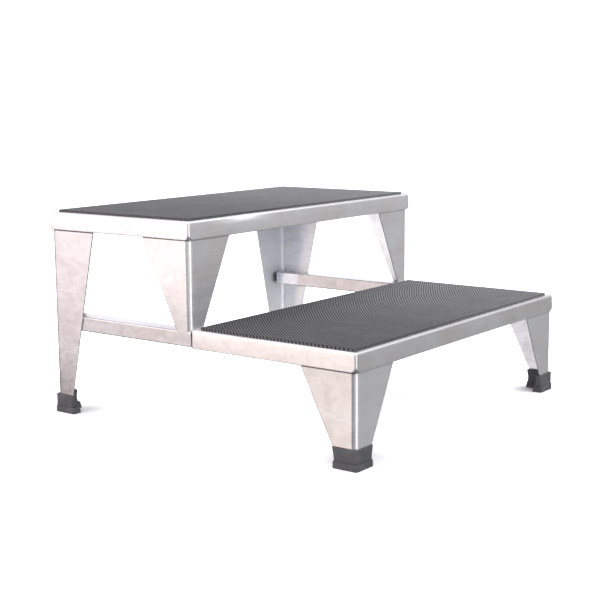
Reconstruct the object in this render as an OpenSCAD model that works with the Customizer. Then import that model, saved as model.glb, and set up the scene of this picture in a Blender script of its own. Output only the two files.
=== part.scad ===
// Two-step mounting block in folded stainless sheet.
// Two shallow trays are the treads. Folded angle legs with tapered flanges carry them, two box
// rails tie the rear legs to the lower tread, ribbed rubber mats cover the treads, and rubber
// boots cover the four feet.
// X runs side to side, the lower tread is towards -Y, and the floor is Z = 0.

/* [Treads] */
// Width of the upper tread, side to side
tread_w = 521; // [440:1:620]
// Depth of each tread, front to back
tread_d = 254; // [230:1:300]
// Height of the upper tread's metal top above the floor
upper_h = 280; // [260:1:320]
// Height of the lower tread's metal top above the floor
lower_h = 142; // [130:1:150]
// Height of the folded apron round each tread
apron_h = 24; // [22:1:28]
// How far the upper tread hangs out past the lower one, in front and at each side
overhang = 3; // [2:0.5:5]

/* [Sheet] */
// Thickness of the stainless sheet
sheet = 1.5; // [1.2:0.1:1.8]
// Outer radius of the tread's bends and welded corners
tray_bend = 3; // [2.5:0.5:5]
// Outer radius of a leg's fold
leg_bend = 7; // [5:0.5:8]

/* [Legs] */
// Width of a leg's flange where it enters the apron
flange_top = 80; // [60:1:90]
// Width of a rear leg's flange at its foot
rear_foot_w = 25; // [22:1:30]
// Width of a front leg's flange at its foot
front_foot_w = 22; // [20:1:26]
// Width of an upper post's flange where it stands on the rail
post_foot_w = 24; // [20:1:25]

/* [Rails] */
// Width of the side rail's box section
rail_w = 25; // [22:1:30]
// Height of the side rail's box section
rail_h = 20; // [16:1:22]
// Drop from the lower tread's top to the rail's top
rail_drop = 2.8; // [2:0.2:4]
// Outer corner radius of the rail
rail_radius = 1.5; // [1:0.5:2]

/* [Mats] */
// Thickness of the rubber mats
mat_t = 3; // [2:0.5:5]
// Strip of bare metal round each mat
mat_inset = 8; // [5:1:15]
// Corner radius of the mats
mat_radius = 4; // [2:1:10]

/* [Boots] */
// Height of a rubber boot
boot_h = 26; // [22:1:32]
// Thickness of a boot's wall outside the leg
boot_wall = 2; // [1.5:0.5:3]
// Thickness of a boot's wall inside the leg
boot_inner = 6.5; // [3:0.5:8]
// How much thicker the inside wall is at the floor
boot_flare = 5; // [0:0.5:8]
// Height where the inside wall starts to thicken
flare_h = 16; // [10:1:20]
// Height of the boot's thicker base band
band_h = 8.5; // [6:0.5:10]
// How far the base band stands out past the wall above it
band_lip = 0.8; // [0.5:0.1:1.5]
// Length of the base band along each flange
band_len = 36; // [34:1:40]
// Outer corner radius of a boot
boot_radius = 2.5; // [2:0.5:4]
// Thickness of rubber under the leg
sole_t = 3; // [2:0.5:5]

/* [Stiffeners] */
// Height of the hat channel under each tread
hat_h = 16; // [12:1:18]
// Width of the hat channel's crown
hat_crown = 30; // [24:1:40]
// Width of each of the hat channel's flanges
hat_flange = 14; // [10:1:20]
// Bare length of tread left at each end of the hat channel
hat_end = 30; // [20:1:60]

/* [Hidden] */
$fn = 64;

half_u = tread_w / 2;
half_l = half_u - overhang;
seam_y = overhang / 2;
upper_y = seam_y - overhang;
lower_y = seam_y - tread_d;

rear_x = half_u - sheet;
rear_y = upper_y + tread_d - sheet;
front_x = half_l - sheet;
front_y = lower_y + sheet;
post_x = half_l;
post_y = seam_y;

rail_top = lower_h - rail_drop;
rail_bottom = rail_top - rail_h;
rail_end = rear_y - leg_bend;
upper_under = upper_h - sheet;
lower_under = lower_h - sheet;
upper_hem = upper_h - apron_h;
lower_hem = lower_h - apron_h;

// Distance from a square corner to a fold's surface, along the diagonal, per unit of radius
diag_gap = sqrt(2) - 1;
notch_h = 6;
notch_radius = 8;
bead = 3;
rail_bead = 2.5;
slack = 1;

function flange_w(foot_w, foot_z, hem_z, z) =
    foot_w + (flange_top - foot_w) * (z - foot_z) / (hem_z - foot_z);
function rear_w(z) = flange_w(rear_foot_w, sole_t, upper_hem, z);
function front_w(z) = flange_w(front_foot_w, sole_t, lower_hem, z);

// ---- outlines -------------------------------------------------------------

module round_rect(w, d, r) {
    translate([-w / 2 + r, -d / 2]) square([w - 2 * r, d]);
    translate([-w / 2, -d / 2 + r]) square([w, d - 2 * r]);
    for (x = [-1, 1], y = [-1, 1])
        translate([x * (w / 2 - r), y * (d / 2 - r)]) circle(r);
}

// A tray's profile: flat top at height 0, top corners rounded, sides down to -h
module tray_profile(w, h, r) {
    translate([-w / 2, -h]) square([w, h - r]);
    translate([-w / 2 + r, -h]) square([w - 2 * r, h]);
    for (x = [-1, 1])
        translate([x * (w / 2 - r), -r]) circle(r);
}

// An angle's plan: outer faces on the axes, corner at the origin, rounded outside and inside
module angle_plan(len, t, outer, inner) {
    difference() {
        square(len);
        difference() {
            translate([-slack, -slack]) square(outer + slack);
            translate([outer, outer]) circle(outer);
        }
        difference() {
            translate([t, t]) square(len);
            difference() {
                translate([t, t]) square(inner);
                translate([t + inner, t + inner]) circle(inner);
            }
        }
    }
}

// Keeps a plan shape only where both flange outlines, drawn as [along, up], allow it
module two_flanges(depth) {
    rotate([90, 0, 90]) linear_extrude(depth) children();
    translate([0, depth, 0]) rotate([90, 0, 0]) linear_extrude(depth) children();
}

module left_right(side) {
    if (side == "right") mirror([1, 0, 0]) children();
    else children();
}

// ---- treads ---------------------------------------------------------------

// A solid block with the tray's rounded plan, front and side; top at Z = 0
module tray_block(w, d, h, r) {
    intersection() {
        translate([0, 0, -h]) linear_extrude(h + slack) round_rect(w, d, r);
        translate([0, d / 2, 0]) rotate([90, 0, 0]) linear_extrude(d) tray_profile(w, h, r);
        translate([-w / 2, 0, 0]) rotate([90, 0, 90]) linear_extrude(w) tray_profile(d, h, r);
    }
}

// The ground-off lower end of a tray's welded corner
module corner_notch() {
    start = diag_gap * tray_bend;
    reach = diag_gap * notch_radius;
    rotate([0, 0, 45]) translate([0, 4 * reach, -apron_h]) rotate([90, 0, 0])
        linear_extrude(8 * reach)
            polygon([[-reach, -slack], [reach, -slack], [reach, 0], [start, notch_h], [-reach, notch_h]]);
}

// ends lists the ground-off corners: 0 is the front pair, 1 the rear pair
module tray(w, d, ends) {
    difference() {
        tray_block(w, d, apron_h, tray_bend);
        translate([0, 0, -sheet])
            tray_block(w - 2 * sheet, d - 2 * sheet, apron_h, tray_bend - sheet);
        for (x = [0, 1], y = ends)
            mirror([x, 0, 0]) mirror([0, y, 0]) translate([-w / 2, -d / 2, 0]) corner_notch();
    }
}

module upper_tread() {
    color("silver") translate([0, upper_y + tread_d / 2, upper_h]) tray(tread_w, tread_d, [0, 1]);
}

module lower_tread() {
    color("silver") translate([0, lower_y + tread_d / 2, lower_h]) tray(2 * half_l, tread_d, [0]);
}

// ---- mats -----------------------------------------------------------------

module mat(w) {
    color("dimgray") linear_extrude(mat_t)
        round_rect(w - 2 * mat_inset, tread_d - 2 * mat_inset, mat_radius);
}

module upper_mat() {
    translate([0, upper_y + tread_d / 2, upper_h]) mat(tread_w);
}

module lower_mat() {
    translate([0, lower_y + tread_d / 2, lower_h]) mat(2 * half_l);
}

// ---- legs -----------------------------------------------------------------

// A folded leg with its corner on the Z axis and its flanges along +X and +Y
module leg(foot_z, foot_w, hem_z, top_z) {
    intersection() {
        linear_extrude(top_z) angle_plan(flange_top + slack, sheet, leg_bend, leg_bend - sheet);
        two_flanges(leg_bend)
            polygon([[0, foot_z], [foot_w, foot_z], [flange_top, hem_z], [flange_top, top_z], [0, top_z]]);
    }
}

module rear_leg_shape() {
    translate([-rear_x, rear_y, 0]) mirror([0, 1, 0])
        leg(sole_t, rear_foot_w, upper_hem, upper_under);
}

module front_leg_shape() {
    translate([-front_x, front_y, 0])
        leg(sole_t, front_foot_w, lower_hem, lower_under);
}

module rear_leg(side) {
    color("silver") left_right(side) rear_leg_shape();
}

module front_leg(side) {
    color("silver") left_right(side) front_leg_shape();
}

// The short leg under the upper tread's front corner, standing on the rail
module post(side) {
    color("silver") left_right(side) translate([-post_x, post_y, 0])
        leg(rail_top, post_foot_w, upper_hem, upper_under);
}

// ---- rails ----------------------------------------------------------------

module rail(side) {
    color("silver") left_right(side)
        translate([-half_l + rail_w / 2, rail_end, rail_top - rail_h / 2]) rotate([90, 0, 0])
            linear_extrude(rail_end - seam_y)
                difference() {
                    round_rect(rail_w, rail_h, rail_radius);
                    square([rail_w - 2 * sheet, rail_h - 2 * sheet], center = true);
                }
}

// ---- boots ----------------------------------------------------------------

// Both flanges of a boot to height h, their inside wall thickening to foot_t at the floor;
// past is the thickness above the flare
module boot_section(len, h, foot_t, past) {
    full = min(h, flare_h);
    at = foot_t - (foot_t - past) * full / flare_h;
    intersection() {
        linear_extrude(h) angle_plan(len, foot_t + boot_radius, boot_radius, boot_radius);
        two_flanges(len)
            polygon(h > flare_h ? [[0, 0], [foot_t, 0], [at, full], [at, h], [0, h]]
                                : [[0, 0], [foot_t, 0], [at, h], [0, h]]);
    }
}

// A boot with the leg's corner on the Z axis; rim_len is the leg's flange length at the rim
module boot(rim_len) {
    wall_t = boot_wall + sheet + boot_inner;
    foot_t = wall_t + boot_flare;
    rim = rim_len + 1.5 * boot_wall;
    waist = min(rim, band_len) - boot_wall;
    translate([-boot_wall, -boot_wall, 0]) intersection() {
        boot_section(band_len + rim, boot_h, foot_t, wall_t);
        two_flanges(foot_t + slack)
            polygon([[0, 0], [waist, 0], [waist, band_h], [rim, boot_h], [0, boot_h]]);
    }
    translate([-boot_wall - band_lip, -boot_wall - band_lip, 0])
        boot_section(band_len, band_h, foot_t + band_lip, wall_t + band_lip);
}

module rear_boot(side) {
    color([0.16, 0.16, 0.17]) left_right(side) difference() {
        translate([-rear_x, rear_y, 0]) mirror([0, 1, 0]) boot(rear_w(boot_h));
        rear_leg_shape();
    }
}

module front_boot(side) {
    color([0.16, 0.16, 0.17]) left_right(side) difference() {
        translate([-front_x, front_y, 0]) boot(front_w(boot_h));
        front_leg_shape();
    }
}

// ---- stiffeners -----------------------------------------------------------

// Hat channel hung from Z = 0, its flanges along X
module hat_channel(len) {
    reach = hat_crown / 2 + hat_flange;
    inner = hat_crown / 2 - sheet;
    translate([-len / 2, 0, 0]) rotate([90, 0, 90]) linear_extrude(len)
        polygon([
            [-reach, 0], [-inner, 0], [-inner, sheet - hat_h], [inner, sheet - hat_h],
            [inner, 0], [reach, 0], [reach, -sheet], [hat_crown / 2, -sheet],
            [hat_crown / 2, -hat_h], [-hat_crown / 2, -hat_h], [-hat_crown / 2, -sheet],
            [-reach, -sheet]
        ]);
}

module upper_stiffener() {
    color("lightgray") translate([0, upper_y + tread_d / 2, upper_under])
        hat_channel(tread_w - 2 * hat_end);
}

module lower_stiffener() {
    color("lightgray") translate([0, lower_y + tread_d / 2, lower_under])
        hat_channel(2 * half_l - 2 * hat_end);
}

// ---- welds ----------------------------------------------------------------

// A three-cornered fillet bead along +X, filling the corner between the +Y and -Z directions
module fillet(len, size) {
    rotate([90, 0, 90]) linear_extrude(len) polygon([[0, 0], [size, 0], [0, -size]]);
}

// Two fillets between a leg's flanges and the underside of a tread, leg corner on the Z axis
module leg_fillets(under_z) {
    start = leg_bend + bead;
    run = flange_top - start - bead;
    translate([start, sheet, under_z]) fillet(run, bead);
    mirror([1, -1, 0]) translate([start, sheet, under_z]) fillet(run, bead);
}

module upper_tread_welds() {
    color("darkgray") for (side = ["left", "right"]) left_right(side) {
        translate([-post_x, post_y, 0]) leg_fillets(upper_under);
        translate([-rear_x, rear_y, 0]) mirror([0, 1, 0]) leg_fillets(upper_under);
    }
}

module lower_tread_welds() {
    color("darkgray") for (side = ["left", "right"]) left_right(side)
        translate([-front_x, front_y, 0]) leg_fillets(lower_under);
}

// Post to rail, both flanges; leg corner on the Z axis
module post_fillets() {
    run = post_foot_w - leg_bend - rail_bead;
    translate([leg_bend, sheet, rail_top]) mirror([0, 0, 1]) fillet(run, rail_bead);
    mirror([1, -1, 0]) translate([leg_bend, sheet, rail_top]) mirror([0, 0, 1]) fillet(run, rail_bead);
}

// Upright fillet where the rail's inner face meets the lower tread's rear apron
module rail_end_fillet() {
    run = rail_h - 4 * rail_radius;
    translate([-half_l + rail_w, seam_y, rail_bottom + 2 * rail_radius])
        linear_extrude(run) polygon([[0, 0], [rail_bead, 0], [0, rail_bead]]);
}

// Flat bead along the rear leg's slanted flange edge, on the rail's outer face
module rail_side_bead() {
    low = rail_bottom + rail_radius;
    high = rail_top - rail_radius;
    translate([-half_l, 0, 0]) mirror([1, 0, 0]) rotate([90, 0, 90]) linear_extrude(sheet)
        polygon([
            [rear_y - rear_w(low), low], [rear_y - rear_w(low) - rail_bead, low],
            [rear_y - rear_w(high) - rail_bead, high], [rear_y - rear_w(high), high]
        ]);
}

module rail_welds() {
    color("darkgray") for (side = ["left", "right"]) left_right(side) {
        translate([-post_x, post_y, 0]) post_fillets();
        rail_end_fillet();
        rail_side_bead();
    }
}

// Short stitches along both edges of a hat channel, hung from Z = 0
module stitches(len) {
    count = 5;
    run = 25;
    for (i = [0 : count - 1], y = [0, 1])
        mirror([0, y, 0])
            translate([-len / 2 + (i + 0.5) * len / count - run / 2, hat_crown / 2 + hat_flange, 0])
                fillet(run, sheet);
}

module stiffener_welds() {
    color("darkgray") {
        translate([0, upper_y + tread_d / 2, upper_under]) stitches(tread_w - 2 * hat_end);
        translate([0, lower_y + tread_d / 2, lower_under]) stitches(2 * half_l - 2 * hat_end);
    }
}

upper_tread();
lower_tread();
upper_mat();
lower_mat();
rear_leg("left");  // rear_leg_left
rear_leg("right");  // rear_leg_right
post("left");  // post_left
post("right");  // post_right
front_leg("left");  // front_leg_left
front_leg("right");  // front_leg_right
rail("left");  // rail_left
rail("right");  // rail_right
rear_boot("left");  // rear_boot_left
rear_boot("right");  // rear_boot_right
front_boot("left");  // front_boot_left
front_boot("right");  // front_boot_right
upper_stiffener();
lower_stiffener();
upper_tread_welds();
lower_tread_welds();
rail_welds();
stiffener_welds();
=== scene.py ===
"""Two-step mounting block in folded stainless sheet: visual model, light and camera.

All shapes are written in millimetres in the CAD frame and turned into metres when a mesh is made.
X runs side to side, the lower tread is towards -Y, and the floor is Z = 0.
"""

import math

import bmesh
import bpy
from mathutils import Matrix, Vector

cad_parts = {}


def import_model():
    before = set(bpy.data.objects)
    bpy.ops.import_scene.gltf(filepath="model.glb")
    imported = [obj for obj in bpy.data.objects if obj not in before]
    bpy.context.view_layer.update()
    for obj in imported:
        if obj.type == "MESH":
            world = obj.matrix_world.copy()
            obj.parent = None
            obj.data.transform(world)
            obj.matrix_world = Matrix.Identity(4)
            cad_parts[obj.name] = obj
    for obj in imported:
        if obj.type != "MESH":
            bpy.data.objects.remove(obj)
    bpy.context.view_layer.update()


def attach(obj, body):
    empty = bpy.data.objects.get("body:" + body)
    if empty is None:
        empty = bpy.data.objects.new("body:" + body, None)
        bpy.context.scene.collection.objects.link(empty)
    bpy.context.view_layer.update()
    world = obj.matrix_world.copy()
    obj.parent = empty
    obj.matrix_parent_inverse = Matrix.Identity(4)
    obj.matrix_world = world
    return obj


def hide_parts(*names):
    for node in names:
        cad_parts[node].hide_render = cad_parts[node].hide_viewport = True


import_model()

# ---- sizes in millimetres -----------------------------------------------------------------

SHEET = 1.5

# trays: width of the upper one, depth, apron height, outer bend radius, how far the aprons bow,
# heights of their tops, and how far the upper one hangs out in front and at each side
TREAD_W, TREAD_D, APRON, TRAY_BEND, SPRING = 521.0, 254.0, 24.0, 3.0, 0.55
UPPER_H, LOWER_H, OVERHANG = 280.0, 142.0, 3.0

# the flattened stretch of the upper tray's front fold: its middle along X, height, depth, spread
DENT_AT, DENT_DROP, DENT_PUSH, DENT_SPAN = -150.0, 9.0, 3.6, 38.0

# legs and posts: outer bend radius, flange width at the top, flange widths at their lower ends
LEG_BEND, FLANGE = 7.0, 80.0
REAR_FOOT, FRONT_FOOT, POST_FOOT = 25.0, 22.0, 24.0

# rails: width, height, corner radius, and how far their tops lie under the lower tray's top
RAIL_W, RAIL_H, RAIL_R, RAIL_DROP = 25.0, 20.0, 1.5, 2.8

# mats: thickness, bare strip round them, corner radius, number of ribs and depth of the grooves
MAT_T, MAT_INSET, MAT_R = 3.0, 8.0, 4.0
RIBS, RIB_DEEP = 75, 1.25

# boots: height, outer wall, rubber under the leg, radius of the outer corner and of the ends;
# the base band; the inner wall, how much thicker it is at the floor, and from what height down
BOOT_H, BOOT_WALL, SOLE, BOOT_R, BOOT_TIP = 26.0, 2.0, 3.0, 2.5, 2.8
BAND_H, BAND_LIP, BAND_LEN = 8.5, 0.8, 36.0
BOOT_INNER, BOOT_FLARE, FLARE_H = 6.5, 5.0, 16.0

# stiffeners: height, widths of crown and flanges, bare tread at each end, bend radius
HAT_H, HAT_CROWN, HAT_FLANGE, HAT_END, HAT_BEND = 16.0, 30.0, 14.0, 30.0, 1.6

# sizes of the fillet beads
LEG_BEAD, RAIL_BEAD, STITCH = 3.0, 2.5, 1.9

# half widths of the trays, their front edges, and the lower one's rear edge
HALF_U = TREAD_W / 2
HALF_L = HALF_U - OVERHANG
SEAM_Y = OVERHANG / 2
UPPER_Y = SEAM_Y - OVERHANG
LOWER_Y = SEAM_Y - TREAD_D

# outer corners of the legs and posts
REAR_X, REAR_Y = HALF_U - SHEET, UPPER_Y + TREAD_D - SHEET
FRONT_X, FRONT_Y = HALF_L - SHEET, LOWER_Y + SHEET
POST_X, POST_Y = HALF_L, SEAM_Y

RAIL_TOP, RAIL_END = LOWER_H - RAIL_DROP, REAR_Y - LEG_BEND
UPPER_HEM, LOWER_HEM = UPPER_H - APRON, LOWER_H - APRON
UPPER_UNDER, LOWER_UNDER = UPPER_H - SHEET, LOWER_H - SHEET


def flange_at(foot_w, foot_z, hem_z):
    """The flange width of a leg as a function of height."""

    def width(z):
        t = min(max((z - foot_z) / (hem_z - foot_z), 0.0), 1.0)
        return foot_w + (FLANGE - foot_w) * t

    return width


rear_width = flange_at(REAR_FOOT, SOLE, UPPER_HEM)
front_width = flange_at(FRONT_FOOT, SOLE, LOWER_HEM)
post_width = flange_at(POST_FOOT, RAIL_TOP, UPPER_HEM)


# ---- mesh making --------------------------------------------------------------------------


def make_object(name, verts, faces, material, node, slots=None):
    """A closed mesh in metres, its normals outwards, riding on the root body in place of a CAD node."""
    mesh = bpy.data.meshes.new(name)
    mesh.from_pydata([Vector(v) * 0.001 for v in verts], [], faces)
    materials = material if isinstance(material, tuple) else (material,)
    for m in materials:
        mesh.materials.append(m)
    if slots:
        mesh.polygons.foreach_set("material_index", slots)
    work = bmesh.new()
    work.from_mesh(mesh)
    bmesh.ops.remove_doubles(work, verts=work.verts, dist=1e-7)
    bmesh.ops.recalc_face_normals(work, faces=work.faces)
    work.to_mesh(mesh)
    work.free()
    mesh.polygons.foreach_set("use_smooth", [True] * len(mesh.polygons))
    mesh.set_sharp_from_angle(angle=math.radians(42))
    obj = bpy.data.objects.new(name, mesh)
    bpy.context.scene.collection.objects.link(obj)
    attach(obj, "root")
    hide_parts(node)
    return obj


def loft(rings, closed=False):
    """Quads between rings of the same length; an open loft gets a flat cap at each end."""
    n, m = len(rings[0]), len(rings)
    verts = [p for ring in rings for p in ring]
    faces = []
    for i in range(m if closed else m - 1):
        k = (i + 1) % m
        for j in range(n):
            j2 = (j + 1) % n
            faces.append((i * n + j, i * n + j2, k * n + j2, k * n + j))
    if not closed:
        faces.append(tuple(range(n)))
        faces.append(tuple(range((m - 1) * n, m * n)))
    return verts, faces


def joined(parts):
    """Several (verts, faces) as one."""
    verts, faces = [], []
    for v, f in parts:
        base = len(verts)
        verts += v
        faces += [tuple(i + base for i in face) for face in f]
    return verts, faces


def mirrored(part, side):
    """The part as it is on the left, or mirrored to the right."""
    verts, faces = part
    if side == "right":
        verts = [(-x, y, z) for x, y, z in verts]
    return verts, faces


def arc(cx, cy, r, start, stop, n):
    """n + 1 points along an arc, angles in degrees."""
    out = []
    for i in range(n + 1):
        a = math.radians(start + (stop - start) * i / n)
        out.append((cx + r * math.cos(a), cy + r * math.sin(a)))
    return out


# ---- trays --------------------------------------------------------------------------------


def rect_ring(a, b, r, z, cy, rear=None, n=8, side=10):
    """A rounded rectangle at height z, centred on (0, cy), with support points by each corner."""
    q = r if rear is None else rear
    corners = [
        arc(a - q, b - q, q, 0, 90, n),
        arc(-a + q, b - q, q, 90, 180, n),
        arc(-a + r, -b + r, r, 180, 270, n),
        arc(a - r, -b + r, r, 270, 360, n),
    ]
    pts = []
    for i, corner in enumerate(corners):
        pts += corner
        p, q = Vector(corner[-1]), Vector(corners[(i + 1) % 4][0])
        near = 0.8 / (q - p).length
        cuts = [near] + [k / side for k in range(1, side)] + [1 - near]
        pts += [tuple(p.lerp(q, t)) for t in cuts]
    return [(x, y + cy, z) for x, y in pts]


def tray(half, cy, top, whole_rear=False, dented=False):
    """A folded tray: flat top, rounded bends, slightly sprung aprons, corners ground off at the hem,
    though not the rear ones if they are whole; if dented, part of the front fold is flattened."""
    a, b, hem = half, TREAD_D / 2, top - APRON
    r, t = TRAY_BEND, SHEET
    drop = APRON - r
    spring, notch, hem_out, hem_in = SPRING, 6.0, 7.6, LEG_BEND
    lean = math.atan(2 * spring / drop)
    core, least = 14, 0.3
    rim = r + spring + 0.5
    side, rows = (30, 14) if dented else (10, 7)
    rings = []

    def flattened(ring, inset, z):
        push = DENT_PUSH * ((z - top + DENT_DROP) / DENT_DROP) ** 1.5 * (1 - inset / rim)
        out = []
        for x, y, _ in ring:
            fade = math.exp(-(((x - DENT_AT) / DENT_SPAN) ** 2)) if y < cy - b + rim else 0.0
            out.append((x, y + push * fade, z))
        return out

    def add(inset, radius, z):
        rear = max(min(radius, r - min(inset, t)), least) if whole_rear and inset < t + spring else None
        ring = rect_ring(a - inset, b - inset, max(radius, least), z, cy, rear, side=side)
        if dented and inset < rim and z > top - DENT_DROP:
            ring = flattened(ring, inset, z)
        rings.append(ring)

    def sprung(z):
        return spring * max((z - hem) / drop, 0.0) ** 2

    for inset in (core, r + spring + 1.6, r + spring + 0.6):
        add(inset, least, top)
    for k in range(9):
        s = (math.pi / 2 - lean) * k / 8
        inset = spring + r - r * math.sin(s)
        add(inset, r - inset + spring, top - r + r * math.cos(s))
    for k in range(1, rows + 1):
        z = hem + drop + (notch - drop) * k / rows
        add(sprung(z), r, z)
    for k in range(1, 7):
        f = k / 6
        z = hem + notch - (notch - 0.45) * f
        add(sprung(z), r + (hem_out - r) * f**1.7, z)
    for inset, z in ((0.13, 0.13), (0.45, 0.0), (t - 0.45, 0.0), (t - 0.13, 0.13), (t, 0.45)):
        add(inset, hem_out + (hem_in - hem_out) * inset / t, hem + z)
    for k in range(1, 5):
        f = k / 4
        add(t, hem_in + (r - t - hem_in) * f, hem + 0.45 + (notch - 0.45) * f)
    ri = r - t
    add(t + spring, ri, top - r - 0.8)
    for k in range(6):
        s = math.radians(90 * (1 - k / 5))
        inset = ri - ri * math.sin(s)
        add(t + spring + inset, ri - inset, top - r + ri * math.cos(s))
    for inset in (r + spring + 0.8, core):
        add(inset, least, top - t)
    return loft(rings)


# ---- folded legs --------------------------------------------------------------------------


def angle_ring(la, lb, t, outer, inner, z, off=0.0, tip=0.35):
    """An angle's section at height z: corner at (-off, -off), flanges along +X and +Y.

    Support points beside the bend and the tips keep the flanges' shading flat."""
    co, ci = outer - off, t + inner - off
    near, far, by_tip = 0.9, 2.4, tip + 1.0
    pts = arc(la - tip, -off + tip, tip, -90, 0, 3)
    pts += arc(la - tip, -off + t - tip, tip, 0, 90, 3)
    pts += [(x, -off + t) for x in (la - by_tip, ci + far, ci + near)]
    pts += arc(ci, ci, inner, 270, 180, 8)
    pts += [(-off + t, y) for y in (ci + near, ci + far, lb - by_tip)]
    pts += arc(-off + t - tip, lb - tip, tip, 0, 90, 3)
    pts += arc(-off + tip, lb - tip, tip, 90, 180, 3)
    pts += [(-off, y) for y in (lb - by_tip, co + far, co + near)]
    pts += arc(co, co, outer, 180, 270, 12)
    pts += [(x, -off) for x in (co + near, co + far, la - by_tip)]
    return [(x, y, z) for x, y in pts]


def folded_leg(width, foot_z, hem_z, top_z):
    """A leg folded from sheet: both flanges taper to the foot, cut edges lightly rounded."""
    levels = [foot_z, foot_z + 0.3]
    steps = 10
    levels += [foot_z + (hem_z - foot_z) * k / steps for k in range(1, steps)]
    levels += [hem_z - 0.4, hem_z + 0.4, top_z - 0.2, top_z]
    return loft([angle_ring(width(z), width(z), SHEET, LEG_BEND, LEG_BEND - SHEET, z) for z in levels])


def placed(part, x, y, flip_y):
    """Moves a part with its corner on the Z axis to (x, y), its Y flange forwards if flipped."""
    verts, faces = part
    k = -1 if flip_y else 1
    return [(vx + x, k * vy + y, vz) for vx, vy, vz in verts], faces


# ---- rails --------------------------------------------------------------------------------


def tube_ring(w, h, r, cx, cz, y, n=5):
    """A rounded rectangle standing across Y."""
    pts = []
    for sx, sz, start in ((1, 1, 0), (-1, 1, 90), (-1, -1, 180), (1, -1, 270)):
        ax, az = sx * (w / 2 - r), sz * (h / 2 - r)
        corner = arc(ax, az, r, start, start + 90, n)
        before, after = Vector(corner[0]), Vector(corner[-1])
        d0 = Vector((0, -sz * 0.6)) if start in (0, 180) else Vector((-sx * 0.6, 0))
        d1 = Vector((-sx * 0.6, 0)) if start in (0, 180) else Vector((0, -sz * 0.6))
        pts += [tuple(before + d0)] + corner + [tuple(after + d1)]
    return [(x + cx, y, z + cz) for x, z in pts]


def rail():
    """Left rail: box section open at its rear end."""
    cx, cz = -HALF_L + RAIL_W / 2, RAIL_TOP - RAIL_H / 2
    y0, y1, e = SEAM_Y, RAIL_END, 0.25
    wi, hi, ri = RAIL_W - 2 * SHEET, RAIL_H - 2 * SHEET, 0.6
    along = [y0, y0 + 0.4] + [y0 + (y1 - y0) * k / 12 for k in range(1, 12)] + [y1 - e]
    rings = [tube_ring(RAIL_W, RAIL_H, RAIL_R, cx, cz, y) for y in along]
    rings.append(tube_ring(RAIL_W - 2 * e, RAIL_H - 2 * e, RAIL_R - e, cx, cz, y1))
    rings.append(tube_ring(wi + 2 * e, hi + 2 * e, ri + e, cx, cz, y1))
    rings += [tube_ring(wi, hi, ri, cx, cz, y) for y in (y1 - e, (y0 + y1) / 2, y0)]
    return loft(rings, closed=True)


# ---- mats ---------------------------------------------------------------------------------


def ribbed_mat(half, cy, z0):
    """A rubber mat with fine ribs side to side, its corners rounded."""
    a, b = half - MAT_INSET, TREAD_D / 2 - MAT_INSET
    pitch = 2 * b / RIBS
    groove = MAT_T - RIB_DEEP
    across_rib = (0.0, 0.07, 0.17, 0.32, 0.5, 0.68, 0.83, 0.93)
    rows = []
    for i in range(RIBS):
        for u in across_rib:
            y = -b + (i + u) * pitch
            rows.append((y, groove + RIB_DEEP * math.sin(math.pi * u) ** 0.75 if u else groove))
    rows.append((b, groove))
    verts, faces = [], []
    cols = 10
    for y, h in rows:
        d = MAT_R - (b - abs(y))
        x = a - (MAT_R - math.sqrt(max(MAT_R**2 - d**2, 0.0)) if d > 0 else 0.0)
        drop = min(h, 0.35)
        xs = (x, x, x - 0.12, x - 0.4, x - 2.0)
        zs = (0.0, h - drop, h - 0.12, h, h)
        for sx, sz in zip(xs, zs):
            verts.append((-sx, y + cy, z0 + sz))
        for sx, sz in zip(reversed(xs), reversed(zs)):
            verts.append((sx, y + cy, z0 + sz))
    for i in range(len(rows) - 1):
        for j in range(cols):
            j2 = (j + 1) % cols
            faces.append((i * cols + j, i * cols + j2, (i + 1) * cols + j2, (i + 1) * cols + j))
    faces.append(tuple(range(cols)))
    faces.append(tuple(range((len(rows) - 1) * cols, len(rows) * cols)))
    return verts, faces


# ---- boots --------------------------------------------------------------------------------


def boot(width):
    """A moulded rubber boot round a folded leg, corner on the Z axis, with a pocket for the leg."""
    rim = width(BOOT_H) + 1.5 * BOOT_WALL
    waist = min(rim, BAND_LEN) - BOOT_WALL
    rings = []

    def add(z, off, end, shrink):
        thick = off + SHEET + BOOT_INNER + BOOT_FLARE * max(1 - z / FLARE_H, 0.0) - 2 * shrink
        e = end - off - shrink
        outer, inner = max(BOOT_R - shrink, 0.8), 1.5 + shrink
        rings.append(angle_ring(e, e, thick, outer, inner, z, off - shrink, BOOT_TIP))

    band, wall = BOOT_WALL + BAND_LIP, BOOT_WALL
    base = ((0.0, 0.7), (0.12, 0.35), (0.35, 0.12), (0.7, 0.0), (3.5, 0.0), (BAND_H - 0.6, 0.0))
    for z, s in base + ((BAND_H - 0.25, 0.1), (BAND_H - 0.06, 0.3), (BAND_H, 0.55)):
        add(z, band, BAND_LEN, s)
    for z, s in ((BAND_H + 0.04, 0.12), (BAND_H + 0.3, 0.04), (BAND_H + 1.0, 0.0)):
        add(z, wall, waist, s)
    for k in range(1, 6):
        f = k / 6
        z = BAND_H + 1.0 + (BOOT_H - 2.0 - BAND_H) * f
        add(z, wall, waist + (rim - waist) * f**1.4, 0.12 * math.sin(math.pi * f))
    for z, s in ((BOOT_H - 0.6, 0.0), (BOOT_H - 0.2, 0.12), (BOOT_H - 0.04, 0.35), (BOOT_H, 0.6)):
        add(z, wall, rim, s)
    for z, g in ((BOOT_H, 0.58), (BOOT_H - 0.1, 0.28), (BOOT_H - 0.5, 0.08), (SOLE, 0.08)):
        w = width(z) + g
        rings.append(angle_ring(w, w, SHEET + 2 * g, LEG_BEND + g, LEG_BEND - SHEET - g, z, g, 0.35))
    return loft(rings)


# ---- stiffeners ---------------------------------------------------------------------------


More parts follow.
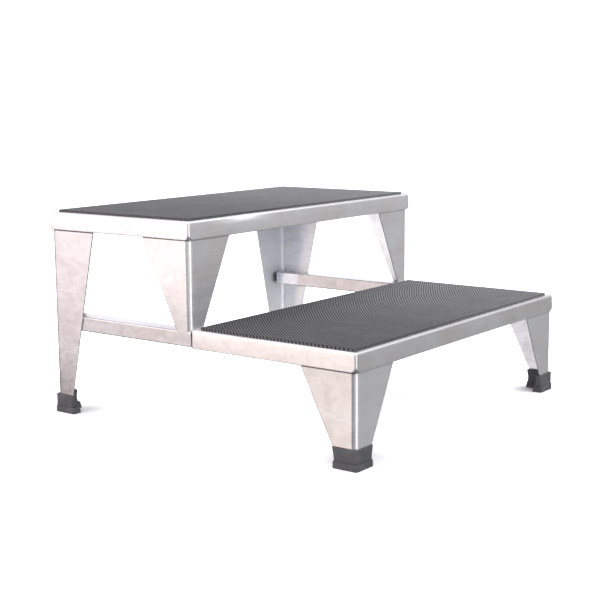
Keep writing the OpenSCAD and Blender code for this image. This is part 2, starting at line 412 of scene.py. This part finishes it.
def sheet_profile(points, t, radius, n=5):
    """A bent sheet's closed outline: its middle line through points, with rounded bends."""
    line = [Vector(points[0])]
    for i in range(1, len(points) - 1):
        p, a, b = Vector(points[i]), Vector(points[i - 1]), Vector(points[i + 1])
        u, v = (a - p).normalized(), (b - p).normalized()
        half = u.angle(v) / 2
        back = radius / math.tan(half)
        start, stop = p + u * back, p + v * back
        centre = p + (u + v).normalized() * (radius / math.sin(half))
        a0 = (start - centre).normalized()
        a1 = (stop - centre).normalized()
        turn = a0.angle(a1)
        sign = 1 if a0.x * a1.y - a0.y * a1.x > 0 else -1
        line.append(start + u * 0.6)
        for k in range(n + 1):
            line.append(centre + radius * (Matrix.Rotation(sign * turn * k / n, 2) @ a0))
        line.append(stop + v * 0.6)
    line.append(Vector(points[-1]))
    left, right = [], []
    for i, p in enumerate(line):
        d = (line[min(i + 1, len(line) - 1)] - line[max(i - 1, 0)]).normalized()
        q = Vector((-d.y, d.x)) * t / 2
        left.append(tuple(p + q))
        right.append(tuple(p - q))
    return left + right[::-1]


def hat(half, cy, under):
    """A hat channel along X under a tread, its flanges against the sheet."""
    mid = SHEET / 2
    reach, crown = HAT_CROWN / 2 + HAT_FLANGE, HAT_CROWN / 2 - mid
    half_line = [(crown, -HAT_H + mid), (crown, -mid), (reach, -mid)]
    middle = [(-y, z) for y, z in reversed(half_line)] + half_line
    outline = sheet_profile(middle, SHEET, HAT_BEND)
    end = half - HAT_END
    xs = [-end + 2 * end * k / 8 for k in range(9)]
    return loft([[(x, y + cy, z + under) for y, z in outline] for x in xs])


# ---- welds --------------------------------------------------------------------------------


def bead(start, along, side, up, length, size, pitch=2.6, depth=0.16, phase=0.0):
    """A fillet bead with its puddle ripples, filling the corner between side and up."""
    start, along, side, up = map(Vector, (start, along, side, up))
    rings = []
    steps = max(int(length / pitch * 8), 8)
    for i in range(steps + 1):
        s = length * i / steps
        end = min(s, length - s)
        swell = math.sqrt(max(1 - max(1 - end / (0.9 * size), 0.0) ** 2, 0.02))
        ripple = (s / pitch + phase) % 1.0
        wobble = 0.04 * math.sin(s * 0.31 + 5 * phase) + 0.03 * math.sin(s * 0.83 + phase)
        k = size * swell * (1.0 + wobble - depth * (1 - ripple) ** 2)
        p = start + along * s
        ring = [p - (side + up) * 0.2]
        for j in range(9):
            a = math.radians(90 * j / 8)
            bulge = 0.72 + 0.12 * math.sin(2 * a)
            ca, sa = math.cos(a), math.sin(a)
            reach = k * bulge / (ca + sa) * 1.28
            ring.append(p + side * (reach * ca) + up * (reach * sa))
        rings.append([tuple(q) for q in ring])
    return loft(rings)


def leg_beads(x, y, flip_y, under):
    """Fillets between both flanges of a leg and the underside of a tread."""
    k = -1 if flip_y else 1
    start = LEG_BEND + 3
    run = FLANGE - start - 3
    across, along, down = (1, 0, 0), (0, k, 0), (0, 0, -1)
    return [
        bead((x + start, y + k * SHEET, under), across, along, down, run, LEG_BEAD, phase=0.2),
        bead((x + SHEET, y + k * start, under), along, across, down, run, LEG_BEAD, phase=0.7),
    ]


def prism(outline, shift):
    """A thin prism from a flat outline pushed along shift."""
    s = Vector(shift)
    return loft([outline, [tuple(Vector(p) + s) for p in outline]])


def rail_weld_parts():
    """Left side: beads from post to rail and from rail to tread, and strips dressed flush outside."""
    run = POST_FOOT - LEG_BEND - RAIL_BEAD
    x, y = -POST_X, POST_Y
    at_tread = (-HALF_L + RAIL_W, SEAM_Y, RAIL_TOP - RAIL_H + 2 * RAIL_R)
    across, along, up = (1, 0, 0), (0, 1, 0), (0, 0, 1)
    beads = [
        bead((x + LEG_BEND, y + SHEET, RAIL_TOP), across, along, up, run, RAIL_BEAD, phase=0.4),
        bead((x + SHEET, y + LEG_BEND, RAIL_TOP), along, across, up, run, RAIL_BEAD, phase=0.9),
        bead(at_tread, up, across, along, RAIL_H - 4 * RAIL_R, RAIL_BEAD, phase=0.1),
    ]
    # the strip that levels the rail's outer face with the edge of the rear leg
    low, high = RAIL_TOP - RAIL_H + RAIL_R, RAIL_TOP - RAIL_R
    low_edge, high_edge = REAR_Y - rear_width(low), REAR_Y - rear_width(high)
    inside, outside = -HALF_L + 0.05, -HALF_L - 0.25
    outline = [
        (inside, low_edge + 0.2, low),
        (inside, low_edge - 2.5, low),
        (inside, high_edge - 2.5, high),
        (inside, high_edge + 0.2, high),
    ]
    lifted = [
        (-REAR_X + 0.15, low_edge + 0.1, low + 0.3),
        (outside, low_edge - 1.9, low + 0.3),
        (outside, high_edge - 1.9, high - 0.3),
        (-REAR_X + 0.15, high_edge + 0.1, high - 0.3),
    ]
    # the strip that closes the groove between the post's foot and the rail's rounded edge
    z0, z1 = RAIL_TOP - RAIL_R - 0.3, RAIL_TOP + 0.25
    y0, y1 = POST_Y + LEG_BEND * 0.6, POST_Y + POST_FOOT - 0.4
    x0 = -HALF_L - 0.01
    at_post = prism([(x0, y0, z0), (x0, y1, z0), (x0, y1, z1), (x0, y0, z1)], (1.6, 0, 0))
    return beads, [loft([outline, lifted]), at_post]


def stitch_parts(half, cy, under):
    """Short fillets along both edges of a hat channel."""
    length, count, run = 2 * (half - HAT_END), 5, 25.0
    parts = []
    for i in range(count):
        phase = 0.13 * i + 0.3
        x = -length / 2 + (i + 0.5) * length / count - run / 2
        for k in (-1, 1):
            y = cy + k * (HAT_CROWN / 2 + HAT_FLANGE)
            parts.append(bead((x, y, under), (1, 0, 0), (0, k, 0), (0, 0, -1), run, STITCH, 2.2, phase=phase))
    return parts


# ---- materials ----------------------------------------------------------------------------


class Graph:
    """Short calls that build a node tree."""

    def __init__(self, tree):
        self.tree = tree

    def node(self, kind, inputs=None, **props):
        n = self.tree.nodes.new(kind)
        for key, value in props.items():
            setattr(n, key, value)
        for key, value in (inputs or {}).items():
            self.put(n.inputs[key], value)
        return n

    def put(self, socket, value):
        if isinstance(value, bpy.types.NodeSocket):
            self.tree.links.new(value, socket)
        else:
            socket.default_value = value

    def where(self):
        return self.node("ShaderNodeTexCoord").outputs["Object"]

    def split(self, vector):
        return self.node("ShaderNodeSeparateXYZ", {"Vector": vector}).outputs

    def scaled(self, vector, by):
        return self.node("ShaderNodeVectorMath", {0: vector, 1: by}, operation="MULTIPLY").outputs[0]

    def noise(self, vector, scale, detail=3.0, rough=0.5, distort=0.0):
        n = self.node(
            "ShaderNodeTexNoise",
            {"Vector": vector, "Scale": scale, "Detail": detail, "Roughness": rough, "Distortion": distort},
        )
        return n.outputs["Fac"]

    def ramp(self, fac, lo, hi, a=0.0, b=1.0, smooth=True):
        n = self.node(
            "ShaderNodeMapRange",
            {"Value": fac, "From Min": lo, "From Max": hi, "To Min": a, "To Max": b},
            interpolation_type="SMOOTHSTEP" if smooth else "LINEAR",
        )
        return n.outputs["Result"]

    def swing(self, fac, by, smooth=True):
        """A noise turned into a value between -by and by."""
        return self.ramp(fac, 0.3, 0.7, -by, by, smooth)

    def math(self, op, a, b=0.0):
        return self.node("ShaderNodeMath", {0: a, 1: b}, operation=op).outputs[0]

    def add(self, total, *more):
        for value in more:
            total = self.math("ADD", total, value)
        return total

    def multiply(self, product, *more):
        for value in more:
            product = self.math("MULTIPLY", product, value)
        return product

    def distance_from(self, value, at):
        return self.math("ABSOLUTE", self.math("SUBTRACT", value, at))

    def mix(self, fac, a, b):
        """Two colours: a mix node keeps them in its sockets 6 and 7, and the result in 2."""
        n = self.node("ShaderNodeMix", data_type="RGBA")
        self.put(n.inputs[0], fac)
        self.put(n.inputs[6], a)
        self.put(n.inputs[7], b)
        return n.outputs[2]

    def mix_vectors(self, fac, a, b):
        """Two vectors, which are in sockets 4 and 5, with the result in 1."""
        n = self.node("ShaderNodeMix", data_type="VECTOR")
        self.put(n.inputs[0], fac)
        self.put(n.inputs[4], a)
        self.put(n.inputs[5], b)
        return n.outputs[1]

    def bump(self, height, strength, distance, normal=None):
        n = self.node("ShaderNodeBump", {"Height": height, "Strength": strength, "Distance": distance})
        if normal is not None:
            self.put(n.inputs["Normal"], normal)
        return n.outputs["Normal"]


class Material(Graph):
    """A new material with its slot name, its node tree and its principled shader."""

    def __init__(self, name, slot):
        self.mat = bpy.data.materials.new(name)
        self.mat.use_nodes = True
        self.mat["slot"] = slot
        super().__init__(self.mat.node_tree)
        self.shader = self.tree.nodes["Principled BSDF"]

    def set(self, **inputs):
        for key, value in inputs.items():
            self.put(self.shader.inputs[key.replace("_", " ")], value)


def steel(
    name,
    base=0.78,
    rough=0.26,
    matt=0.07,
    left=0.0,
    right=(0.93, 0.95, 0.98, 1.0),
    low=(),
    hem_shade_z=None,
    sheen_from_y=None,
    painted_cool_tint=False,
):
    """Brushed stainless: grain side to side on every face, with faint handling marks.

    base is the level and rough the roughness, matt the extra roughness of the front faces, left a painted
    lift or drop of level on the left-hand faces, and right a painted reflection tint, lighter or darker, on
    the right-hand side's inner faces. low is a painted change of level towards the floor, shade where its
    amount is negative and light where it is positive: amount, two heights, and the share that all but the
    left-hand faces get. seam is the height of a dark line painted as the shade under a tray's hem, clean
    where along Y a painted blue-white sheen on those inner faces starts, and cold swaps in bluer tints all
    over, a painted cool reflection."""
    g = Material(name, "stainless")
    p = g.where()
    place = g.split(p)
    facing = g.split(g.node("ShaderNodeNewGeometry").outputs["Normal"])
    level_face = g.ramp(g.math("ABSOLUTE", facing["Z"]), 0.55, 0.85)
    grain = g.mix_vectors(level_face, g.scaled(p, (1.0, 1.0, 90.0)), g.scaled(p, (1.0, 90.0, 1.0)))
    fine = g.noise(grain, 30.0, 3.0, 0.6)
    streak = g.noise(grain, 5.5, 3.0, 0.6)
    broad = g.noise(g.scaled(p, (1.0, 1.0, 2.0)), 12.0, 2.0, 0.5, 0.6)
    blotch = g.noise(g.scaled(p, (1.0, 1.0, 1.6)), 48.0, 1.5, 0.5, 1.0)
    smear = g.noise(g.scaled(p, (5.0, 5.0, 1.0)), 17.0, 3.0, 0.6, 1.2)

    def by_side(on_left, elsewhere):
        return g.ramp(facing["X"], -0.95, -0.6, on_left, elsewhere)

    patchy = g.multiply(g.swing(blotch, 0.045), by_side(1.0, 0.3))
    tone = g.add(g.swing(streak, 0.018), g.swing(fine, 0.004), patchy, g.swing(broad, 0.035))
    # a painted lift or drop of level on the left-hand faces, by the sign of left
    level = g.add(tone, base, by_side(left, 0.0))
    # low: a painted change of level towards the floor, shade where amount is negative and light where it is
    # positive
    if low:
        amount, z0, z1, share = low
        shift = g.multiply(g.ramp(place["Z"], z0, z1, amount, 0.0), by_side(1.0, share))
        level = g.add(level, shift)

    tints = (1.005, 0.985, 0.975, 1.0), (0.99, 0.995, 1.005, 1.0)
    # cold: bluer tints all over, a painted cool reflection
    if painted_cool_tint:
        tints = (0.985, 0.985, 1.02, 1.0), (0.97, 0.985, 1.03, 1.0)
    tint = g.mix(g.ramp(broad, 0.35, 0.65), *tints)
    # the right-hand side's inner faces take the painted reflection tint right
    inner = g.multiply(g.ramp(place["X"], 0.0, 0.2), g.ramp(facing["X"], -0.7, -0.3, 1.0, 0.0))
    tint = g.mix(inner, tint, right)
    # a painted blue-white sheen on those inner faces, from clean along Y towards the rear
    if sheen_from_y is not None:
        painted_sheen = g.multiply(inner, g.ramp(place["Y"], sheen_from_y - 0.002, sheen_from_y + 0.003))
        tint = g.mix(painted_sheen, tint, (0.96, 1.01, 1.12, 1.0))
    colour = g.node("ShaderNodeVectorMath", {0: tint, "Scale": level}, operation="SCALE").outputs[0]
    # a dark line painted at height seam: the shade under a tray's hem, stronger on side faces
    if hem_shade_z is not None:
        line = g.ramp(g.distance_from(place["Z"], hem_shade_z * 0.001), 0.0005, 0.0016, 1.0, 0.0)
        sideways = g.ramp(g.math("ABSOLUTE", facing["X"]), 0.2, 0.75, 0.3, 0.95)
        colour = g.mix(g.multiply(line, sideways), colour, (0.05, 0.048, 0.05, 1.0))

    roughness = g.add(
        g.ramp(streak, 0.25, 0.75, -0.01, 0.01),
        g.ramp(smear, 0.45, 0.75, 0.0, 0.03),
        g.ramp(blotch, 0.4, 0.75, rough, rough + 0.02),
        g.ramp(facing["Y"], -0.995, -0.95, matt, 0.0),
    )
    waves = g.bump(g.noise(p, 9.0, 2.0, 0.5), 0.35, 0.0014)
    normal = g.bump(fine, 0.04, 0.0001, waves)
    g.set(Base_Color=colour, Metallic=1.0, Roughness=roughness, Normal=normal)
    return g.mat


def weld_metal():
    """Brushed-off weld bead: duller than the sheet, with straw and blue heat tints."""
    g = Material("weld bead", "weld")
    p = g.where()
    heat = g.noise(p, 160.0, 3.0, 0.5, 0.5)
    grit = g.noise(p, 1500.0, 3.0, 0.6)
    colour = g.mix(g.ramp(heat, 0.35, 0.65), (0.62, 0.585, 0.53, 1.0), (0.50, 0.52, 0.56, 1.0))
    colour = g.mix(g.ramp(grit, 0.45, 0.8, 0.0, 0.35), colour, (0.3, 0.3, 0.31, 1.0))
    g.set(
        Base_Color=colour,
        Metallic=1.0,
        Roughness=g.ramp(grit, 0.3, 0.7, 0.34, 0.5),
        Normal=g.bump(grit, 0.3, 0.00015),
    )
    return g.mat


def mat_rubber():
    """Ribbed matting: grey-black rubber with painted shade in its grooves, painted highlight lines slanting
    across the ribs and one side painted lighter as a sheen; on the upper mat, by its height, the highlight
    lines are fainter and some dust shows."""
    g = Material("ribbed rubber", "mat_rubber")
    coords = g.node("ShaderNodeTexCoord")
    p = coords.outputs["Object"]
    place = g.split(p)
    within = g.split(coords.outputs["Generated"])
    facing_up = g.split(g.node("ShaderNodeNewGeometry").outputs["Normal"])["Z"]
    # painted shade down in the grooves between the ribs
    groove = g.multiply(g.ramp(within["Z"], 0.7, 1.0, 1.0, 0.0), g.ramp(facing_up, 0.1, 0.4))
    scuff = g.noise(p, 20.0, 4.0, 0.6, 0.3)
    speck = g.noise(p, 900.0, 3.0, 0.6)
    grain = g.noise(p, 330.0, 1.0, 0.5)

    # the painted highlight lines slant across the ribs and bend a little over the sheet: cycles per metre,
    # then per square metre
    x, y = place["X"], place["Y"]
    cycles = g.multiply(x, 166.0)
    for c, a, b in ((-239.0, y, 1.0), (-77.0, x, x), (-121.0, x, y), (-97.0, y, y)):
        cycles = g.add(cycles, g.multiply(a, b, c))
    cycles = g.add(cycles, g.swing(g.noise(p, 7.0, 1.0, 0.5), 0.2))
    highlight_lines_and_dust = g.math("SINE", g.multiply(cycles, 2 * math.pi))
    highlight_lines_and_dust = g.multiply(highlight_lines_and_dust, g.ramp(grain, 0.3, 0.55, 0.6, 1.0), g.ramp(place["Z"], 0.2, 0.25, 0.58, 0.3))
    # dust on the upper mat joins the painted highlight lines
    dust = g.multiply(g.swing(grain, 0.2, smooth=False), g.ramp(place["Z"], 0.2, 0.25))
    inside = g.ramp(g.distance_from(within["Y"], 0.5), 0.482, 0.492, 1.0, 0.0)
    highlight_lines_and_dust = g.add(g.multiply(g.add(highlight_lines_and_dust, dust), inside), 0.52)

    # one side painted lighter towards +X, a painted sheen, which also raises the specular level
    sheen_side = g.ramp(g.add(x, g.ramp(scuff, 0.0, 1.0, -0.06, 0.06)), -0.22, 0.27)
    dark = g.mix(sheen_side, (0.02, 0.02, 0.022, 1.0), (0.036, 0.036, 0.038, 1.0))
    pale = g.mix(sheen_side, (0.1, 0.099, 0.104, 1.0), (0.17, 0.168, 0.176, 1.0))
    colour = g.mix(highlight_lines_and_dust, dark, pale)
    # the grooves get the painted shade
    colour = g.mix(groove, colour, (0.004, 0.004, 0.005, 1.0))
    colour = g.mix(g.ramp(speck, 0.6, 0.8, 0.0, 0.2), colour, (0.16, 0.16, 0.16, 1.0))
    g.set(
        Base_Color=colour,
        Roughness=g.ramp(scuff, 0.3, 0.7, 0.46, 0.6),
        Specular_IOR_Level=g.multiply(g.ramp(highlight_lines_and_dust, 0.0, 1.0, 0.2, 1.0), g.ramp(sheen_side, 0.0, 1.0, 0.6, 1.0)),
        Normal=g.bump(g.add(speck, highlight_lines_and_dust), 0.25, 0.0001),
    )
    return g.mat


def boot_rubber():
    """Moulded rubber: near black, slightly dusty, scuffed low down."""
    g = Material("moulded rubber", "boot_rubber")
    p = g.where()
    cloud = g.noise(p, 70.0, 4.0, 0.6, 0.4)
    grit = g.noise(p, 1300.0, 3.0, 0.6)
    low = g.ramp(g.split(p)["Z"], 0.0, 0.01, 1.0, 0.0)
    scuffed = g.multiply(low, g.ramp(cloud, 0.35, 0.7, 0.2, 0.8), 0.5)
    colour = g.mix(g.ramp(cloud, 0.35, 0.7), (0.042, 0.042, 0.046, 1.0), (0.06, 0.06, 0.065, 1.0))
    colour = g.mix(scuffed, colour, (0.12, 0.118, 0.115, 1.0))
    g.set(
        Base_Color=colour,
        Roughness=g.ramp(cloud, 0.3, 0.7, 0.48, 0.62),
        Specular_IOR_Level=0.45,
        Normal=g.bump(grit, 0.3, 0.00012),
    )
    return g.mat


# ---- the pieces ---------------------------------------------------------------------------

# heights of the dark lines painted as the shade under each tray's hem
upper_hem_shade_z, lower_hem_shade_z = UPPER_HEM - 0.4, LOWER_HEM - 0.4
# The pieces are all one brushed steel: their different base levels and their left, right, low and cold
# settings are painted light and shade, lit and shaded copies of one material.
upper_steel = steel("brushed sheet, upper tread", base=0.8)
lower_steel = steel("brushed sheet, lower tread", base=0.73)
rear_steel = {
    "left": steel("brushed sheet, rear leg left", base=0.76, low=(-0.2, 0.04, 0.1, 0.0), hem_shade_z=upper_hem_shade_z),
    "right": steel(
        "brushed sheet, rear leg right",
        base=0.98,
        rough=0.46,
        right=(0.88, 0.9, 0.955, 1.0),
        low=(0.08, 0.09, 0.2, 1.0),
        hem_shade_z=upper_hem_shade_z,
        painted_cool_tint=True,
    ),
}
front_steel = steel(
    "brushed sheet, front legs",
    base=0.81,
    left=-0.17,
    right=(1.14, 1.2, 1.32, 1.0),
    hem_shade_z=lower_hem_shade_z,
)
post_steel = steel(
    "brushed sheet, posts",
    base=0.77,
    matt=0.17,
    left=0.06,
    right=(0.88, 0.96, 1.02, 1.0),
    low=(-0.18, 0.14, 0.21, 0.0),
    hem_shade_z=upper_hem_shade_z,
)
rail_steel = steel("brushed tube, rails", base=0.67, right=(0.77, 0.76, 0.78, 1.0), sheen_from_y=0.199)
hat_steel = steel("brushed sheet, stiffeners", base=0.7, rough=0.36)
weld = weld_metal()
matting = mat_rubber()
moulded = boot_rubber()

upper_cy, lower_cy = UPPER_Y + TREAD_D / 2, LOWER_Y + TREAD_D / 2

make_object("upper_tray", *tray(HALF_U, upper_cy, UPPER_H, dented=True), upper_steel, "upper_tread")
make_object("lower_tray", *tray(HALF_L, lower_cy, LOWER_H, whole_rear=True), lower_steel, "lower_tread")
make_object("upper_ribbed_mat", *ribbed_mat(HALF_U, upper_cy, UPPER_H), matting, "upper_mat")
make_object("lower_ribbed_mat", *ribbed_mat(HALF_L, lower_cy, LOWER_H), matting, "lower_mat")

rear = placed(folded_leg(rear_width, SOLE, UPPER_HEM, UPPER_UNDER), -REAR_X, REAR_Y, True)
front = placed(folded_leg(front_width, SOLE, LOWER_HEM, LOWER_UNDER), -FRONT_X, FRONT_Y, False)
post = placed(folded_leg(post_width, RAIL_TOP, UPPER_HEM, UPPER_UNDER), -POST_X, POST_Y, False)
rear_boot = placed(boot(rear_width), -REAR_X, REAR_Y, True)
front_boot = placed(boot(front_width), -FRONT_X, FRONT_Y, False)
for side in ("left", "right"):
    make_object(f"folded_rear_leg_{side}", *mirrored(rear, side), rear_steel[side], f"rear_leg_{side}")
    make_object(f"folded_front_leg_{side}", *mirrored(front, side), front_steel, f"front_leg_{side}")
    make_object(f"folded_post_{side}", *mirrored(post, side), post_steel, f"post_{side}")
    make_object(f"box_rail_{side}", *mirrored(rail(), side), rail_steel, f"rail_{side}")
    make_object(f"moulded_rear_boot_{side}", *mirrored(rear_boot, side), moulded, f"rear_boot_{side}")
    make_object(f"moulded_front_boot_{side}", *mirrored(front_boot, side), moulded, f"front_boot_{side}")

make_object("bent_upper_stiffener", *hat(HALF_U, upper_cy, UPPER_UNDER), hat_steel, "upper_stiffener")
make_object("bent_lower_stiffener", *hat(HALF_L, lower_cy, LOWER_UNDER), hat_steel, "lower_stiffener")



def both_sides(parts):
    return joined([mirrored(part, side) for side in ("left", "right") for part in parts])


def face_count(parts):
    return sum(len(faces) for _, faces in parts)


upper_beads = leg_beads(-POST_X, POST_Y, False, UPPER_UNDER) + leg_beads(-REAR_X, REAR_Y, True, UPPER_UNDER)
lower_beads = leg_beads(-FRONT_X, FRONT_Y, False, LOWER_UNDER)
make_object("upper_tread_beads", *both_sides(upper_beads), weld, "upper_tread_welds")
make_object("lower_tread_beads", *both_sides(lower_beads), weld, "lower_tread_welds")

# the strips dressed flush with the rail look like the rail
beads, strips = rail_weld_parts()
slots = ([0] * face_count(beads) + [1] * face_count(strips)) * 2
make_object("rail_beads", *both_sides(beads + strips), (weld, rail_steel), "rail_welds", slots)
stitches = stitch_parts(HALF_U, upper_cy, UPPER_UNDER) + stitch_parts(HALF_L, lower_cy, LOWER_UNDER)
make_object("stiffener_beads", *joined(stitches), weld, "stiffener_welds")

# ---- floor, light, camera -----------------------------------------------------------------


def floor():
    """A plain pale floor with a very faint mottle, glowing evenly by itself except close to three boots,
    where the glow fades out to paint their shadows.
    """
    mesh = bpy.data.meshes.new("floor")
    n, size = 24, 400.0
    verts = [((i / n - 0.5) * size, (j / n - 0.5) * size, 0.0) for j in range(n + 1) for i in range(n + 1)]
    faces = [
        (j * (n + 1) + i, j * (n + 1) + i + 1, (j + 1) * (n + 1) + i + 1, (j + 1) * (n + 1) + i)
        for j in range(n)
        for i in range(n)
    ]
    mesh.from_pydata(verts, [], faces)
    obj = bpy.data.objects.new("floor", mesh)
    bpy.context.scene.collection.objects.link(obj)
    g = Material("studio floor", "floor")
    colour = g.mix(g.noise(g.where(), 3.0, 2.0), (0.9, 0.9, 0.91, 1.0), (0.93, 0.93, 0.94, 1.0))
    # painted shadows by the boots, where the glow is taken away: where each shadow is, the distance it is
    # full to, and the distance where it ends
    glow = 0.62
    shadows = (
        ((-0.245, 0.235, 0.0), 0.02, 0.085),
        ((-0.228, -0.243, 0.0), 0.035, 0.1),
        ((0.245, -0.235, 0.0), 0.01, 0.05),
    )
    for at, near, far in shadows:
        reach = g.node("ShaderNodeVectorMath", {0: g.where(), 1: at}, operation="DISTANCE").outputs["Value"]
        glow = g.multiply(glow, g.ramp(reach, near, far))
    g.set(Base_Color=colour, Roughness=0.9, Specular_IOR_Level=0.1)
    g.set(Emission_Color=(0.98, 0.98, 1.0, 1.0), Emission_Strength=glow)
    mesh.materials.append(g.mat)
    obj.visible_glossy = False


def area_light(name, at, aim, size, power, colour=(1, 1, 1)):
    """A rectangular softbox facing a point, seen neither by the camera nor in reflections."""
    data = bpy.data.lights.new(name, "AREA")
    data.shape = "RECTANGLE"
    data.size, data.size_y = size
    data.energy = power
    data.color = colour
    obj = bpy.data.objects.new(name, data)
    bpy.context.scene.collection.objects.link(obj)
    obj.location = at
    obj.rotation_mode = "QUATERNION"
    obj.rotation_quaternion = (Vector(aim) - Vector(at)).to_track_quat("-Z", "Y")
    obj.visible_camera = False
    obj.visible_glossy = False
    return data


def world():
    """The studio round the object, by compass direction: bright and warm behind left, darker on the left,
    one narrow window in front, grey in front right, behind it bright at the horizon only, pale overhead
    and dark straight below."""
    w = bpy.data.worlds.new("studio")
    bpy.context.scene.world = w
    w.use_nodes = True
    g = Graph(w.node_tree)
    out = g.tree.nodes["Background"]
    axes = g.split(g.node("ShaderNodeTexCoord").outputs["Generated"])
    turn = g.math("ARCTAN2", axes["Y"], axes["X"])
    around = g.ramp(turn, -math.pi, math.pi, smooth=False)
    strength = 2.6
    peach, warm, rosy = (1.1, 0.97, 0.92), (1.09, 0.965, 0.935), (1.09, 0.945, 1.02)
    plain, cool = (0.995, 0.99, 1.01), (0.97, 0.98, 1.05)
    # degrees from +X towards +Y; level well up, at the horizon, just under it, lower, lowest; tint
    stops = (
        (-180, 1.2, 0.7, 0.45, 0.4, 0.4, plain),
        (-158, 1.2, 0.8, 0.6, 0.5, 0.48, cool),
        (-142, 1.3, 1.2, 1.15, 0.62, 0.55, cool),
        (-126, 1.2, 0.9, 0.85, 0.8, 0.75, plain),
        (-115, 1.4, 1.1, 1.1, 1.0, 0.95, plain),
        (-107, 2.2, 2.5, 2.5, 2.4, 2.3, plain),
        (-100, 2.2, 2.5, 2.5, 2.4, 2.2, plain),
        (-92, 1.5, 1.1, 1.0, 0.95, 0.95, plain),
        (-78, 1.4, 0.78, 0.66, 0.64, 0.64, plain),
        (-60, 1.4, 0.8, 0.54, 0.56, 0.55, plain),
        (-44, 2.2, 0.7, 0.44, 0.52, 0.53, plain),
        (-34, 2.1, 0.64, 0.44, 0.4, 0.5, plain),
        (-28, 1.6, 0.6, 0.45, 0.36, 0.5, plain),
        (-20, 0.9, 0.7, 0.44, 0.34, 0.52, plain),
        (-6, 0.8, 0.8, 0.45, 0.4, 0.45, cool),
        (12, 0.8, 1.3, 0.9, 0.5, 0.45, cool),
        (30, 0.8, 1.45, 0.25, 0.12, 0.12, cool),
        (104, 0.9, 1.45, 0.3, 0.15, 0.15, rosy),
        (118, 1.3, 1.5, 0.9, 0.45, 0.35, rosy),
        (130, 1.6, 1.9, 1.3, 0.72, 0.46, rosy),
        (137, 1.6, 2.0, 1.6, 0.36, 0.38, warm),
        (141, 1.6, 1.95, 1.8, 0.75, 1.75, peach),
        (144, 1.6, 1.9, 1.9, 1.15, 1.95, peach),
        (150, 1.5, 1.5, 1.4, 1.25, 1.95, peach),
        (157, 1.4, 0.8, 0.42, 0.4, 0.4, plain),
        (180, 1.2, 0.7, 0.45, 0.4, 0.4, plain),
    )

    def ring(column):
        n = g.node("ShaderNodeValToRGB", {"Fac": around})
        for stop in stops[1:-1]:
            n.color_ramp.elements.new((stop[0] + 180) / 360)
        for element, stop in zip(n.color_ramp.elements, stops):
            element.color = (*[min(stop[column] * c / strength, 1.0) for c in stop[6]], 1.0)
        return n.outputs["Color"]

    z = axes["Z"]
    side = g.mix(g.ramp(z, -0.235, -0.19), ring(5), ring(4))
    side = g.mix(g.ramp(z, -0.19, -0.11), side, ring(3))
    side = g.mix(g.ramp(z, -0.07, -0.01), side, ring(2))
    side = g.mix(g.ramp(z, 0.2, 0.42), side, ring(1))
    side = g.mix(g.ramp(z, -0.52, -0.3, 1.0, 0.0), side, (0.09, 0.09, 0.095, 1.0))
    sky = g.mix(g.ramp(z, 0.5, 0.95), side, (0.62, 0.62, 0.63, 1.0))
    g.put(out.inputs["Color"], sky)
    out.inputs["Strength"].default_value = strength


def camera():
    """The reference view: from the front left, a little above the upper tread."""
    data = bpy.data.cameras.new("camera")
    data.sensor_width = 36.0
    data.lens = 74.84
    data.clip_start, data.clip_end = 0.05, 100.0
    yaw, pitch, roll = math.radians(36.826), math.radians(9.386), math.radians(-0.427)
    eye = Vector((-1.4179, -1.0410, 0.4364))
    d = Vector((math.cos(pitch) * math.cos(yaw), math.cos(pitch) * math.sin(yaw), -math.sin(pitch)))
    r = d.cross(Vector((0, 0, 1))).normalized()
    u = r.cross(d)
    c, s = math.cos(roll), math.sin(roll)
    right, up = c * r + s * u, -s * r + c * u
    obj = bpy.data.objects.new("camera", data)
    bpy.context.scene.collection.objects.link(obj)
    m = Matrix((right, up, -d)).transposed().to_4x4()
    m.translation = eye
    obj.matrix_world = m
    bpy.context.scene.camera = obj


floor()
world()
camera()
area_light("softbox left", (-2.0, 0.9, 1.9), (0.0, 0.0, 0.1), (1.8, 1.8), 20.0)
area_light("softbox front right", (1.2, -2.0, 1.2), (0.0, 0.0, 0.1), (1.6, 1.6), 13.0).use_shadow = False
area_light("softbox above", (0.2, 0.4, 2.6), (0.0, 0.1, 0.0), (3.0, 3.0), 42.0)
bpy.context.scene.view_settings.view_transform = "Standard"
